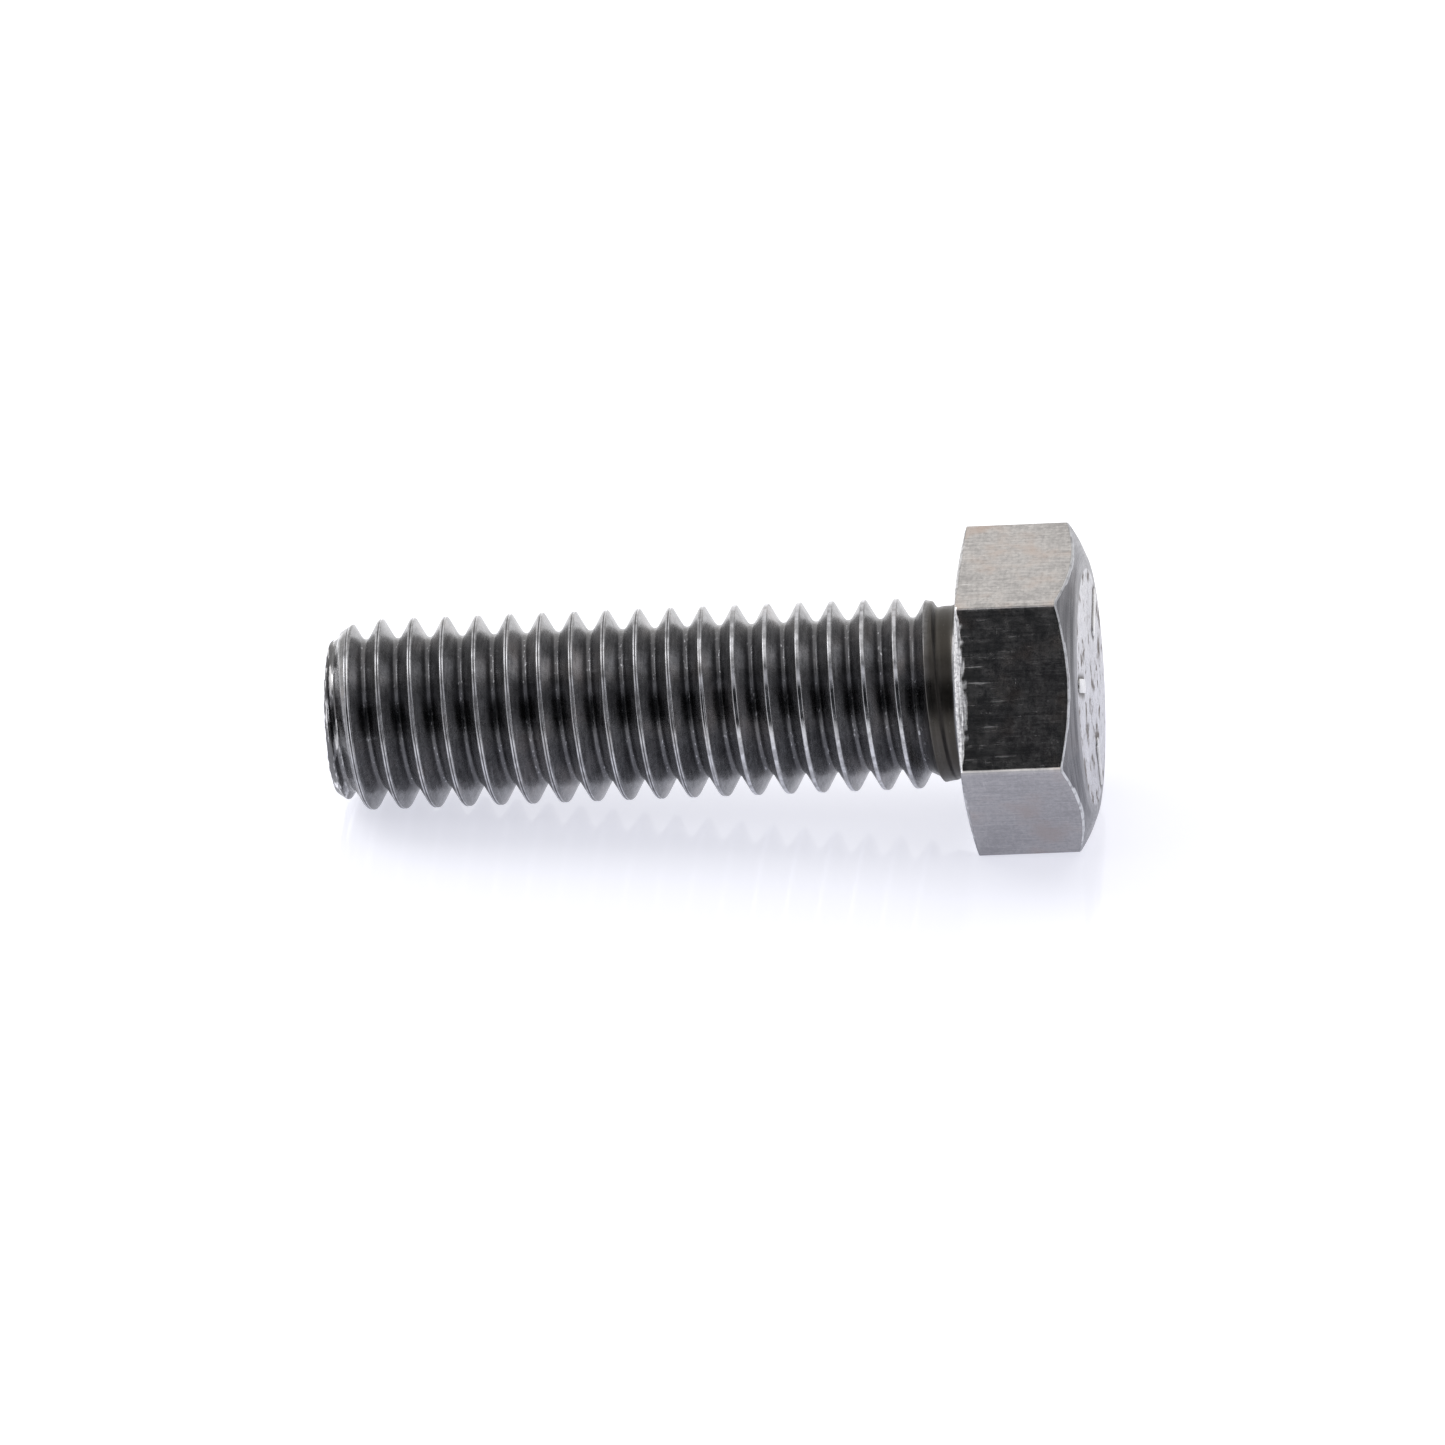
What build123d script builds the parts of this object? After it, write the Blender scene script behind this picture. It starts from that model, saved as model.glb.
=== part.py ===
from build123d import *
from math import ceil, cos, floor, pi, radians, tan
import os

# Hexagon head bolt, threaded up to a short neck: 3/8 inch - 16 UNC x 1 1/4 inch, right-hand.
# Millimetres. The bolt lies along X: the origin is the centre of the bearing face, the head
# is towards +X, the tip towards -X, and two flats of the hexagon face +Z and -Z.
# The real bolt is one forging. Each of its regions is a solid of its own here, and
# neighbouring solids meet face to face.

# Thread
pitch = 25.4 / 16
major_diameter = 9.36
minor_diameter = 7.42
flank_angle = 60.0
crest_offset = -0.11  # where the crest line along the +Z side would pass the bearing face
tooth_overlap = 0.05  # how far the tooth is sunk into the core that it is joined to

# Shank
length_under_head = 31.3
neck_diameter = 8.44
neck_length = 1.4
underhead_fillet = 0.4
point_diameter = 7.5
point_length = 1.4

# Head
across_flats = 14.06
head_height = 6.0
corner_rounding = 0.5
washer_face_thickness = 0.2
washer_face_diameter = 13.8
washer_bevel_diameter = 16.3
top_circle_diameter = 12.8
top_chamfer_angle = 27.0

# Generic bars raised on the top of the head
bar_count = 3
bar_length = 2.6
bar_width = 0.7
bar_height = 0.1
bar_centre_radius = 4.2
bar_first_angle = 30.0

# Worked out from the values above
major_radius = major_diameter / 2
minor_radius = minor_diameter / 2
neck_radius = neck_diameter / 2
point_radius = point_diameter / 2
flare_radius = neck_radius + underhead_fillet
tip_x = -length_under_head
point_end_x = tip_x + point_length
thread_end_x = -neck_length
foot_radius = minor_radius - tooth_overlap
crest_width = pitch / 8
foot_width = crest_width + 2 * (major_radius - foot_radius) * tan(radians(flank_angle / 2))
chamfer_slope = tan(radians(top_chamfer_angle))
corner_reach = across_flats / 2 / cos(pi / 6)

os.makedirs("parts", exist_ok=True)


def threaded_length(start_x, end_x):
    """A length of threaded rod: one tooth swept along its helix onto a core, then cut square.

    The tooth begins and ends at least a turn beyond the length that is kept.
    """
    first_turn = floor((start_x - crest_offset) / pitch) - 1
    last_turn = ceil((end_x - crest_offset) / pitch) + 1
    first_x = crest_offset + first_turn * pitch
    tooth_run = (last_turn - first_turn) * pitch
    with BuildPart() as length:
        with BuildLine():
            helix = Helix(pitch, tooth_run, foot_radius, (first_x, 0, 0), (1, 0, 0))
        with BuildSketch(Plane.XZ):
            with BuildLine():
                Polyline(
                    (first_x - foot_width / 2, foot_radius),
                    (first_x - crest_width / 2, major_radius),
                    (first_x + crest_width / 2, major_radius),
                    (first_x + foot_width / 2, foot_radius),
                    close=True,
                )
            make_face()
        sweep(path=helix, is_frenet=True)
        with BuildSketch(Plane.YZ.offset(first_x - pitch)):
            Circle(minor_radius)
        extrude(amount=tooth_run + 2 * pitch)
        split(bisect_by=Plane.YZ.offset(start_x), keep=Keep.TOP)
        split(bisect_by=Plane.YZ.offset(end_x), keep=Keep.BOTTOM)
    return length.part


# The full thread, from the point to the neck
with BuildPart() as threaded_shank:
    add(threaded_length(point_end_x, thread_end_x))
threaded_shank.part.label = "threaded_shank"
export_step(threaded_shank.part, "parts/threaded_shank.step")

# The chamfered point, where the first thread is turned down to a cone
with BuildPart() as chamfered_point:
    add(threaded_length(tip_x, point_end_x))
    with BuildSketch(Plane.XY):
        with BuildLine():
            Polyline(
                (tip_x, 0),
                (tip_x, point_radius),
                (point_end_x, major_radius),
                (point_end_x, 0),
                close=True,
            )
        make_face()
    revolve(axis=Axis.X, mode=Mode.INTERSECT)
chamfered_point.part.label = "chamfered_point"
export_step(chamfered_point.part, "parts/chamfered_point.step")

# The unthreaded neck, flaring with a fillet to its root inside the washer face
with BuildPart() as neck:
    with BuildSketch(Plane.XY):
        with BuildLine():
            Polyline(
                (-underhead_fillet, neck_radius),
                (thread_end_x, neck_radius),
                (thread_end_x, 0),
                (washer_face_thickness, 0),
                (washer_face_thickness, flare_radius),
                (0, flare_radius),
            )
            CenterArc((-underhead_fillet, flare_radius), underhead_fillet, -90, 90)
        make_face()
    revolve(axis=Axis.X)
neck.part.label = "neck"
export_step(neck.part, "parts/neck.step")


def hexagon_section():
    """The hexagon across the head, with its corners rounded."""
    with BuildSketch() as section:
        RegularPolygon(across_flats / 2, 6, major_radius=False)
        fillet(section.vertices(), corner_rounding)
    return section.sketch


def turned_blank(*outline):
    """A solid turned about X from an outline of (x, radius) points, closed along the axis."""
    with BuildPart() as blank:
        with BuildSketch(Plane.XY):
            with BuildLine():
                Polyline((outline[0][0], 0), *outline, (outline[-1][0], 0), close=True)
            make_face()
        revolve(axis=Axis.X)
    return blank.part


# The washer face under the head, a ring round the neck, bevelled back towards the corners
with BuildPart() as washer_face:
    with BuildSketch(Plane.YZ):
        add(hexagon_section())
        Circle(flare_radius, mode=Mode.SUBTRACT)
    extrude(amount=washer_face_thickness)
    add(
        turned_blank(
            (0, washer_face_diameter / 2),
            (washer_face_thickness, washer_bevel_diameter / 2),
        ),
        mode=Mode.INTERSECT,
    )
washer_face.part.label = "washer_face"
export_step(washer_face.part, "parts/washer_face.step")

# The hexagon, with its top corners turned off to a cone
with BuildPart() as hex_head:
    with BuildSketch(Plane.YZ.offset(washer_face_thickness)):
        add(hexagon_section())
    extrude(amount=head_height - washer_face_thickness)
    add(
        turned_blank(
            (washer_face_thickness, corner_reach),
            (head_height - (corner_reach - top_circle_diameter / 2) * chamfer_slope, corner_reach),
            (head_height, top_circle_diameter / 2),
        ),
        mode=Mode.INTERSECT,
    )
hex_head.part.label = "hex_head"
export_step(hex_head.part, "parts/hex_head.step")

# Three plain bars raised on the top of the head, evenly spaced and pointing at the axis
with BuildPart() as head_bars:
    with BuildSketch(Plane.YZ.offset(head_height)):
        with PolarLocations(bar_centre_radius, bar_count, bar_first_angle):
            SlotOverall(bar_length, bar_width)
    extrude(amount=bar_height)
head_bars.part.label = "head_bars"
export_step(head_bars.part, "parts/head_bars.step")
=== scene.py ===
from math import cos, pi, radians, sin, tan

import bmesh
import bpy
from mathutils import Matrix, Vector, noise


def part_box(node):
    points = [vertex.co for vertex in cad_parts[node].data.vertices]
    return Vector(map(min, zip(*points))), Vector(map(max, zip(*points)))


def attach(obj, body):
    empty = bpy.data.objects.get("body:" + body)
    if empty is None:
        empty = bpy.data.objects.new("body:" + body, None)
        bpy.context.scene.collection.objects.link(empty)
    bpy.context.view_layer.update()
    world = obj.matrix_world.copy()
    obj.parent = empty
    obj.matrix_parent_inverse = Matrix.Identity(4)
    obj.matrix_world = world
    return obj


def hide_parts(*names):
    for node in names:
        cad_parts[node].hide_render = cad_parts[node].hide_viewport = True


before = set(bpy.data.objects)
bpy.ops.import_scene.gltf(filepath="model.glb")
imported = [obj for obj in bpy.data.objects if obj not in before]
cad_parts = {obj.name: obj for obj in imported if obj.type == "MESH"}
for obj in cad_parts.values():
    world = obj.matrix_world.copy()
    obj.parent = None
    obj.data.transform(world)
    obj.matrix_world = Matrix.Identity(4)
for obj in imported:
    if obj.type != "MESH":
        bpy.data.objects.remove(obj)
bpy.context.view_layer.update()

mm = 0.001
print("frame loaded:", len(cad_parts), "nodes")

# places that the frame gives
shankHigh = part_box("threaded_shank")[1]
pointLow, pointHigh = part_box("chamfered_point")
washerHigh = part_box("washer_face")[1]
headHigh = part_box("hex_head")[1]
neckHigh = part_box("neck")[1]
tipX = pointLow.x
crestRadius = shankHigh.z
neckFlare = neckHigh.z
flatDistance = headHigh.z
cornerDistance = headHigh.y


# small helpers for node trees
def feed(tree, value, socket):
    if isinstance(value, bpy.types.NodeSocket):
        tree.links.new(value, socket)
    else:
        socket.default_value = value


def addNode(tree, kind, **settings):
    node = tree.nodes.new(kind)
    for key, value in settings.items():
        setattr(node, key, value)
    return node


def calc(tree, operation, *values):
    node = addNode(tree, "ShaderNodeMath", operation=operation)
    for value, socket in zip(values, node.inputs):
        feed(tree, value, socket)
    return node.outputs[0]


# a number that runs smoothly from newLow to newHigh as value goes from low to high
def fade(tree, value, low, high, newLow=0.0, newHigh=1.0):
    node = addNode(tree, "ShaderNodeMapRange", interpolation_type="SMOOTHSTEP")
    for item, socket in zip((value, low, high, newLow, newHigh), node.inputs):
        feed(tree, item, socket)
    return node.outputs[0]


def hypotenuse(tree, first, second):
    return calc(tree, "SQRT", calc(tree, "ADD", calc(tree, "MULTIPLY", first, first),
                                   calc(tree, "MULTIPLY", second, second)))


# a value with a share of an amount added to it
def raised(tree, value, share, amount):
    return calc(tree, "ADD", value, calc(tree, "MULTIPLY", share, amount))


# a colour is either another node's or a plain red, green and blue
def mixColour(tree, share, first, second, blend="MIX"):
    node = addNode(tree, "ShaderNodeMix", data_type="RGBA", blend_type=blend)
    feed(tree, share, node.inputs[0])
    for colour, socket in ((first, node.inputs[6]), (second, node.inputs[7])):
        feed(tree, (*colour, 1) if isinstance(colour, tuple) else colour, socket)
    return node.outputs[2]


def cloud(tree, place, scale, detail=3.0, seed=0.0, roughness=0.5):
    node = addNode(tree, "ShaderNodeTexNoise", noise_dimensions="4D")
    feed(tree, place, node.inputs["Vector"])
    feed(tree, seed, node.inputs["W"])
    node.inputs["Scale"].default_value = scale
    node.inputs["Detail"].default_value = detail
    node.inputs["Roughness"].default_value = roughness
    return node.outputs[0]


# steel finishes
steels = {
    "threadSteel": {
        "tone": (0.31, 0.312, 0.323), "dark": (0.14, 0.14, 0.146), "bright": (0.80, 0.81, 0.86),
        "roughness": (0.20, 0.32), "grain": (9000, 500, 500), "cross": (600, 7000, 7000), "mottle": 0.35,
        "scratches": 0.15, "grazing": (1.0, 1.0, 1.0), "rust": 0.10, "bump": 0.010 * mm, "seed": 3.0,
    },
    "headSteel": {
        "tone": (0.62, 0.60, 0.585), "dark": (0.36, 0.35, 0.345), "bright": (0.80, 0.80, 0.80),
        "roughness": (0.17, 0.27), "grain": (450, 9500, 9500), "cross": (9000, 900, 900),
        "mottle": 0.46, "scratches": 0.68, "grazing": (0.86, 0.86, 0.88), "rust": 0.50,
        "bump": 0.006 * mm, "seed": 11.0,
    },
    "bearingSteel": {
        "tone": (0.50, 0.50, 0.51), "dark": (0.26, 0.26, 0.265), "bright": (0.88, 0.89, 0.92),
        "roughness": (0.26, 0.42), "grain": (3000, 5200, 5200), "cross": (5000, 1500, 1500),
        "mottle": 0.5, "scratches": 0.5, "grazing": (0.9, 0.9, 0.9), "rust": 0.14,
        "bump": 0.012 * mm, "seed": 23.0,
    },
    "barSteel": {
        "tone": (0.62, 0.62, 0.63), "dark": (0.40, 0.40, 0.40), "bright": (0.88, 0.88, 0.88),
        "roughness": (0.20, 0.32), "grain": (2500, 2500, 2500), "cross": (6000, 6000, 6000),
        "mottle": 0.5, "scratches": 0.4, "grazing": (0.95, 0.95, 0.95), "rust": 0.05,
        "bump": 0.005 * mm, "seed": 31.0,
    },
}
rustTint = (0.42, 0.29, 0.22)

# what all the finishes share; where four numbers stand together they are the start and the end of
# a smooth change, then its value at the start and at the end
brushing = {
    "blotchGrain": 450.0,
    "wornGrain": 1600.0,
    "mottleGrain": 4800.0,
    "grainShare": 0.72,
    "crossShare": 0.28,
    "blotchShare": 0.5,
    "shade": (0.60, 0.88),
    "scratch": (0.60, 0.70),
    "crossScratch": (0.66, 0.76, 0.0, 0.5),
    "wornPatch": (0.40, 0.62),
    "leastScratched": 0.05,
    "nearBearing": (1.4 * mm, 4.6 * mm, 1.15, 0.22),  # more scratches towards the bearing face
    "rust": (0.48, 0.70),
    "roughness": (0.36, 0.62),
    "scratchRoughness": 0.30,
    "bumpStrength": 0.6,
}


def stretched(tree, place, scale):
    node = addNode(tree, "ShaderNodeMapping")
    feed(tree, place, node.inputs["Vector"])
    node.inputs["Scale"].default_value = scale
    return node.outputs[0]


def ownNumber(tree, name):
    return addNode(tree, "ShaderNodeAttribute", attribute_name=name).outputs["Fac"]


# the thread's own marks
threadMarks = {
    "beforeNeck": (-2.9 * mm, -2.0 * mm, 1.0, 0.0),
    # the crest's painted highlight, in worn patches
    "highlightAndWear": (0.40, 0.60, 0.20, 0.62),
    "land": (0.060 * mm, 0.105 * mm, 1.0, 0.0),  # by the distance off the crest line
    "landPolish": 0.05,
    "seam": (0.022 * mm, 0.048 * mm, 1.0, 0.0),
    "seamShare": 0.85,
    "seamTone": (0.035, 0.033, 0.035),
    "awayFromTip": (tipX + 0.5 * mm, tipX + 1.5 * mm),
    "root": (0.46 * mm, 0.66 * mm, 0.0, 0.70),
    "rootTone": (0.055, 0.055, 0.062),
    "speckGrain": (9000, 3600, 3600),
    "specks": (0.60, 0.70, 0.0, 0.45),
    "speckLine": (0.60 * mm, 0.72 * mm),
    "speckRoughness": 0.2,
    "point": (tipX + 0.3 * mm, tipX + 1.2 * mm, 0.85, 0.0),
    "pointTone": (0.12, 0.12, 0.124),
    "chipGrain": (3800, 620, 620),
    "chipReach": (tipX + 0.25 * mm, tipX + 1.1 * mm, 1.0, 0.0),
    "chips": (0.50, 0.58, 0.0, 0.90),
    "chipTone": (0.90, 0.90, 0.92),
    "rim": (3.35 * mm, 3.62 * mm),
    "endWear": (0.36, 0.64),
    "endTones": ((0.15, 0.15, 0.155), (0.36, 0.36, 0.37)),
    "endReach": (tipX + 0.28 * mm, tipX + 0.36 * mm, 1.0, 0.0),
    "endRoughness": 0.14,
    "neckStart": (-2.1 * mm, -1.4 * mm),
    "neckEnd": (-0.42 * mm, -0.3 * mm, 0.9, 0.0),
    "neckTone": (0.048, 0.043, 0.036),
    "neckRoughness": 0.10,
    # painted reflection on the fillet: lighter and bluer
    "fillet": (-0.36 * mm, -0.2 * mm, 0.0, 0.55),
    "filletReflectionTone": (0.44, 0.47, 0.54),
}


def markThread(tree, axes, worn, place, colour, roughness):
    look = threadMarks
    bright = steels["threadSteel"]["bright"]
    offCrest = ownNumber(tree, "offCrest")
    x = axes.outputs[0]
    # the crest land is painted bright, a painted highlight in worn patches, and keeps an open seam over the
    # half of the thread nearer the tip
    beforeNeck = fade(tree, x, *look["beforeNeck"])
    highlightAndWear = calc(tree, "MULTIPLY", fade(tree, worn, *look["highlightAndWear"]), beforeNeck)
    land = fade(tree, offCrest, *look["land"])
    colour = mixColour(tree, calc(tree, "MULTIPLY", land, highlightAndWear), colour, bright)
    roughness = calc(tree, "SUBTRACT", roughness, calc(tree, "MULTIPLY", land, look["landPolish"]))
    seamShare = fade(tree, x, thread["Seam Fade Start"], thread["Seam Fade End"], look["seamShare"], 0.0)
    seam = calc(tree, "MULTIPLY", fade(tree, offCrest, *look["seam"]), seamShare)
    colour = mixColour(tree, seam, colour, look["seamTone"])
    # the root is dark, with a broken sparkling line along it where the rolling left it rough
    awayFromTip = fade(tree, x, *look["awayFromTip"])
    rootShare = calc(tree, "MULTIPLY", fade(tree, offCrest, *look["root"]), awayFromTip)
    colour = mixColour(tree, rootShare, colour, look["rootTone"])
    specks = cloud(tree, stretched(tree, place, look["speckGrain"]), 1.0, seed=7.0)
    sparkle = calc(tree, "MULTIPLY", fade(tree, specks, *look["specks"]),
                   fade(tree, offCrest, *look["speckLine"]))
    colour = mixColour(tree, sparkle, colour, bright)
    roughness = raised(tree, roughness, sparkle, look["speckRoughness"])
    # the turned point is dark, with bright chips broken out of its rim
    colour = mixColour(tree, fade(tree, x, *look["point"]), colour, look["pointTone"])
    chipped = cloud(tree, stretched(tree, place, look["chipGrain"]), 1.0, 4.0, seed=19.0, roughness=0.6)
    chips = calc(tree, "MULTIPLY", fade(tree, x, *look["chipReach"]), fade(tree, chipped, *look["chips"]))
    atRim = fade(tree, hypotenuse(tree, axes.outputs[1], axes.outputs[2]), *look["rim"])
    colour = mixColour(tree, calc(tree, "MULTIPLY", chips, atRim), colour, look["chipTone"])
    # the end itself is sheared off, grey and rough
    endTone = mixColour(tree, fade(tree, worn, *look["endWear"]), *look["endTones"])
    onEnd = calc(tree, "MULTIPLY", fade(tree, x, *look["endReach"]), calc(tree, "SUBTRACT", 1.0, atRim))
    colour = mixColour(tree, onEnd, colour, endTone)
    roughness = raised(tree, roughness, onEnd, look["endRoughness"])
    # the neck is left dark and scaly, and the fillet gets a painted bluish reflection
    neckShare = calc(tree, "MULTIPLY", fade(tree, x, *look["neckStart"]), fade(tree, x, *look["neckEnd"]))
    colour = mixColour(tree, neckShare, colour, look["neckTone"])
    roughness = raised(tree, roughness, neckShare, look["neckRoughness"])
    colour = mixColour(tree, fade(tree, x, *look["fillet"]), colour, look["filletReflectionTone"])
    return colour, roughness, 1.0


# how far a spot on the top is from the middle line of the nearest raised bar
def awayFromBars(tree, axes):
    y, z = axes.outputs[1], axes.outputs[2]
    half = (bars["Length"] - bars["Width"]) / 2
    nearest = 1.0
    for number in range(bars["Count"]):
        angle = bars["First Angle"] + number * 2 * pi / bars["Count"]
        outward = calc(tree, "ADD", calc(tree, "MULTIPLY", y, cos(angle)),
                       calc(tree, "MULTIPLY", z, sin(angle)))
        aside = calc(tree, "SUBTRACT", calc(tree, "MULTIPLY", z, cos(angle)),
                     calc(tree, "MULTIPLY", y, sin(angle)))
        beyond = calc(tree, "ABSOLUTE", calc(tree, "SUBTRACT", outward, bars["Centre Radius"]))
        beyond = calc(tree, "MAXIMUM", calc(tree, "SUBTRACT", beyond, half), 0.0)
        nearest = calc(tree, "MINIMUM", nearest, hypotenuse(tree, beyond, aside))
    return nearest


# the head's marks: painted shade on the flats, the torn strip, a painted highlight line along the edges,
# the cone and the top
headMarks = {
    # painted shade on the flats: a bluish tint and a darker tone
    "paintedShadeTint": (0.66, 0.665, 0.70),
    "paintedShadeTone": (0.35, 0.35, 0.37),
    "paintedShadeShare": 0.4,
    "gritGrain": 6000.0,
    "grit": (0.38, 0.58),
    "stripTones": ((0.56, 0.56, 0.58), (0.97, 0.97, 0.98)),
    "stripRoughness": 0.16,
    "ringGrain": 9000.0,  # close together outwards from the axis
    "ringLength": 300.0,  # and long the other way
    "rings": (0.38, 0.62),
    "coneTones": ((0.135, 0.137, 0.145), (0.265, 0.265, 0.275)),
    "coneTint": (0.24, 0.243, 0.255),
    "coneShare": 0.65,
    "coneRoughness": 0.06,
    "scaleGrain": 850.0,
    "brown": (0.50, 0.62),
    "topTones": ((0.56, 0.56, 0.58), (0.15, 0.125, 0.11)),
    "bare": (0.30, 0.40, 0.7, 0.0),
    "bareTone": (0.86, 0.86, 0.88),
    "grimeWander": 0.7 * mm,
    "grimeReach": (0.30 * mm, 0.72 * mm),  # out from the edge of each bar
    "grimeShare": 0.92,
    "grimeTone": (0.085, 0.070, 0.060),
    "topShare": 0.9,
    "scaly": (0.53, 0.62, 0.0, 0.8),
    "scalyLoss": 0.85,  # how much of its metal look the steel loses there
    "scalyRoughness": 0.40,
    # the painted highlight line along each flat's edge with the cone
    "edge": (0.55, 0.95, 0.0, 0.75),
    "edgeWear": (0.36, 0.55, 0.35, 1.0),
    "edgeHighlightTone": (0.82, 0.83, 0.85),
    "edgeRoughness": 0.25,
}


def markHead(tree, axes, worn, place, colour, roughness):
    look = headMarks
    # painted shade: each flat is darkened and turned bluer by its own share
    shadeTinted = mixColour(tree, 1.0, colour, look["paintedShadeTint"], "MULTIPLY")
    shadedColour = mixColour(tree, look["paintedShadeShare"], shadeTinted, look["paintedShadeTone"])
    colour = mixColour(tree, ownNumber(tree, "paintedShade"), colour, shadedColour)
    torn = ownNumber(tree, "torn")
    grit = cloud(tree, place, look["gritGrain"], seed=9.0, roughness=0.6)
    stripTone = mixColour(tree, fade(tree, grit, *look["grit"]), *look["stripTones"])
    colour = mixColour(tree, torn, colour, stripTone)
    roughness = raised(tree, roughness, torn, look["stripRoughness"])
    # the cone keeps the marks of turning, arcs round the axis
    y, z = axes.outputs[1], axes.outputs[2]
    ringSpot = addNode(tree, "ShaderNodeCombineXYZ")
    feed(tree, calc(tree, "MULTIPLY", hypotenuse(tree, y, z), look["ringGrain"]), ringSpot.inputs[0])
    feed(tree, calc(tree, "MULTIPLY", y, look["ringLength"]), ringSpot.inputs[1])
    feed(tree, calc(tree, "MULTIPLY", z, look["ringLength"]), ringSpot.inputs[2])
    rings = cloud(tree, ringSpot.outputs[0], 1.0, seed=51.0, roughness=0.6)
    turned = mixColour(tree, fade(tree, rings, *look["rings"]), *look["coneTones"])
    tinted = mixColour(tree, 1.0, colour, look["coneTint"], "MULTIPLY")
    coneTone = mixColour(tree, look["coneShare"], tinted, turned)
    forged = ownNumber(tree, "forged")
    colour = mixColour(tree, forged, colour, coneTone)
    # the top is scaly, blotched brown and dark, most of all round the raised bars
    onTop = ownNumber(tree, "onTop")
    scale = cloud(tree, place, look["scaleGrain"], 5.0, seed=41.0, roughness=0.62)
    topTone = mixColour(tree, fade(tree, scale, *look["brown"]), *look["topTones"])
    topTone = mixColour(tree, fade(tree, scale, *look["bare"]), topTone, look["bareTone"])
    grimeStart, grimeEnd = (bars["Width"] / 2 + reach for reach in look["grimeReach"])
    grime = fade(tree, raised(tree, awayFromBars(tree, axes), scale, look["grimeWander"]),
                 grimeStart, grimeEnd, look["grimeShare"], 0.0)
    topTone = mixColour(tree, grime, topTone, look["grimeTone"])
    colour = mixColour(tree, calc(tree, "MULTIPLY", onTop, look["topShare"]), colour, topTone)
    scaly = calc(tree, "MULTIPLY", calc(tree, "MAXIMUM", grime, fade(tree, scale, *look["scaly"])), onTop)
    metal = calc(tree, "SUBTRACT", 1.0, calc(tree, "MULTIPLY", scaly, look["scalyLoss"]))
    roughness = raised(tree, roughness, forged, look["coneRoughness"])
    roughness = raised(tree, roughness, scaly, look["scalyRoughness"])
    # a thin painted highlight line, broken up by the wear noise, along the edge between each flat and the
    # cone
    edge = calc(tree, "MULTIPLY", fade(tree, ownNumber(tree, "highlightAndWear"), *look["edge"]),
                fade(tree, worn, *look["edgeWear"]))
    colour = mixColour(tree, edge, colour, look["edgeHighlightTone"])
    roughness = raised(tree, roughness, edge, look["edgeRoughness"])
    return colour, roughness, metal


def steelMaterial(name, marks=None):
    finish = steels[name]
    material = bpy.data.materials.new(name)
    material.use_nodes = True
    tree = material.node_tree
    shader = tree.nodes["Principled BSDF"]
    place = addNode(tree, "ShaderNodeTexCoord").outputs["Object"]
    axes = addNode(tree, "ShaderNodeSeparateXYZ")
    feed(tree, place, axes.inputs[0])
    grain = cloud(tree, stretched(tree, place, finish["grain"]), 1.0, 4.0, finish["seed"], 0.6)
    cross = cloud(tree, stretched(tree, place, finish["cross"]), 1.0, 3.0, finish["seed"] + 1, 0.6)
    blotch = cloud(tree, place, brushing["blotchGrain"], 4.0, finish["seed"] + 2, 0.55)
    worn = cloud(tree, place, brushing["wornGrain"], 5.0, finish["seed"] + 3, 0.6)
    # brushed lines darken and lighten the steel, over slow patches
    lines = calc(tree, "ADD", calc(tree, "MULTIPLY", grain, brushing["grainShare"]),
                 calc(tree, "MULTIPLY", cross, brushing["crossShare"]))
    mottle = cloud(tree, place, brushing["mottleGrain"], 4.0, finish["seed"] + 4, 0.65)
    lines = calc(tree, "ADD", calc(tree, "MULTIPLY", lines, 1 - finish["mottle"]),
                 calc(tree, "MULTIPLY", mottle, finish["mottle"]))
    shadeShare = fade(tree, raised(tree, lines, blotch, brushing["blotchShare"]), *brushing["shade"])
    colour = mixColour(tree, shadeShare, finish["dark"], finish["tone"])
    # fine scratches, broken up by the worn patches, that scatter light from all round
    scratch = calc(tree, "MAXIMUM", fade(tree, grain, *brushing["scratch"]),
                   fade(tree, cross, *brushing["crossScratch"]))
    wornShare = fade(tree, worn, *brushing["wornPatch"], brushing["leastScratched"], finish["scratches"])
    scratchShare = calc(tree, "MULTIPLY", calc(tree, "MULTIPLY", scratch, wornShare),
                        fade(tree, axes.outputs[0], *brushing["nearBearing"]))
    colour = mixColour(tree, scratchShare, colour, finish["bright"])
    # a little rust tint where the patches are thickest
    rustShare = calc(tree, "MULTIPLY", fade(tree, blotch, *brushing["rust"]), finish["rust"])
    colour = mixColour(tree, rustShare, colour, rustTint)
    halfWorn = calc(tree, "MULTIPLY", worn, 0.5)
    roughness = fade(tree, calc(tree, "ADD", halfWorn, calc(tree, "MULTIPLY", lines, 0.5)),
                     *brushing["roughness"], *finish["roughness"])
    roughness = raised(tree, roughness, scratchShare, brushing["scratchRoughness"])
    metal = 1.0
    if marks:
        colour, roughness, metal = marks(tree, axes, worn, place, colour, roughness)
    bump = addNode(tree, "ShaderNodeBump")
    bump.inputs["Strength"].default_value = brushing["bumpStrength"]
    bump.inputs["Distance"].default_value = finish["bump"]
    feed(tree, calc(tree, "ADD", lines, halfWorn), bump.inputs["Height"])
    feed(tree, colour, shader.inputs["Base Color"])
    feed(tree, roughness, shader.inputs["Roughness"])
    feed(tree, bump.outputs[0], shader.inputs["Normal"])
    feed(tree, metal, shader.inputs["Metallic"])
    shader.inputs["Specular Tint"].default_value = (*finish["grazing"], 1)
    return material


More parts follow.
